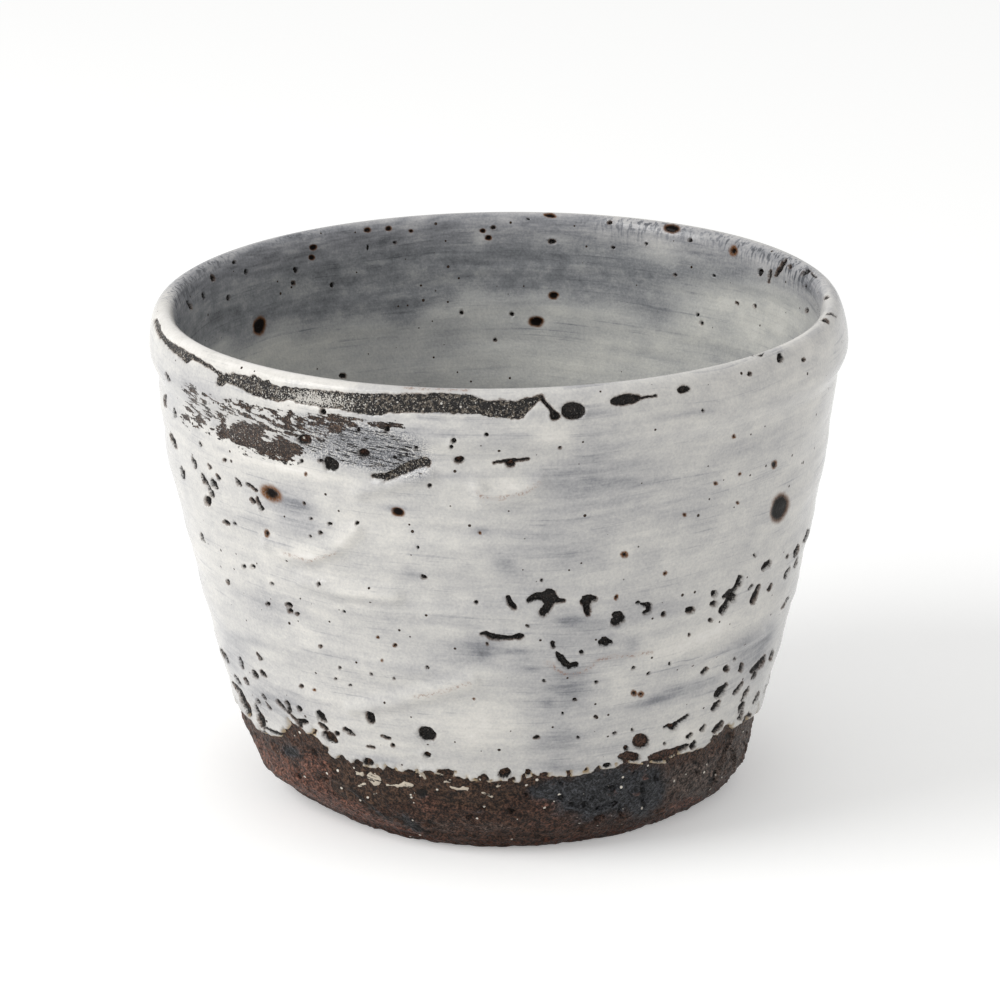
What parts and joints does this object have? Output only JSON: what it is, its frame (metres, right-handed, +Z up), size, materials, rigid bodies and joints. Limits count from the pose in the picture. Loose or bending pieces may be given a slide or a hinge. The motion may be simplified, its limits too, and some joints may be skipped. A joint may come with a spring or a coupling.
{
  "type": "handleless cup",
  "caption": "Flared handleless stoneware cup with a bevelled bare clay foot, a soft collar under the lip and white slip coats inside and outside.",
  "frame": {"origin": "centre of the foot, on the plane that the cup stands on", "axes": "+Z up along the cup's axis, -Y towards the side with the bare band under the lip"},
  "size_m": [0.0932, 0.0928, 0.0674],
  "materials": {
    "stoneware": "unglazed",
    "inner_slip": "gloss",
    "outer_slip": "gloss"
  },
  "bodies": {
    "root": {"clay_body": "stoneware", "inner_slip_coat": "inner_slip", "outer_slip_coat": "outer_slip"}
  },
  "joints": []
}
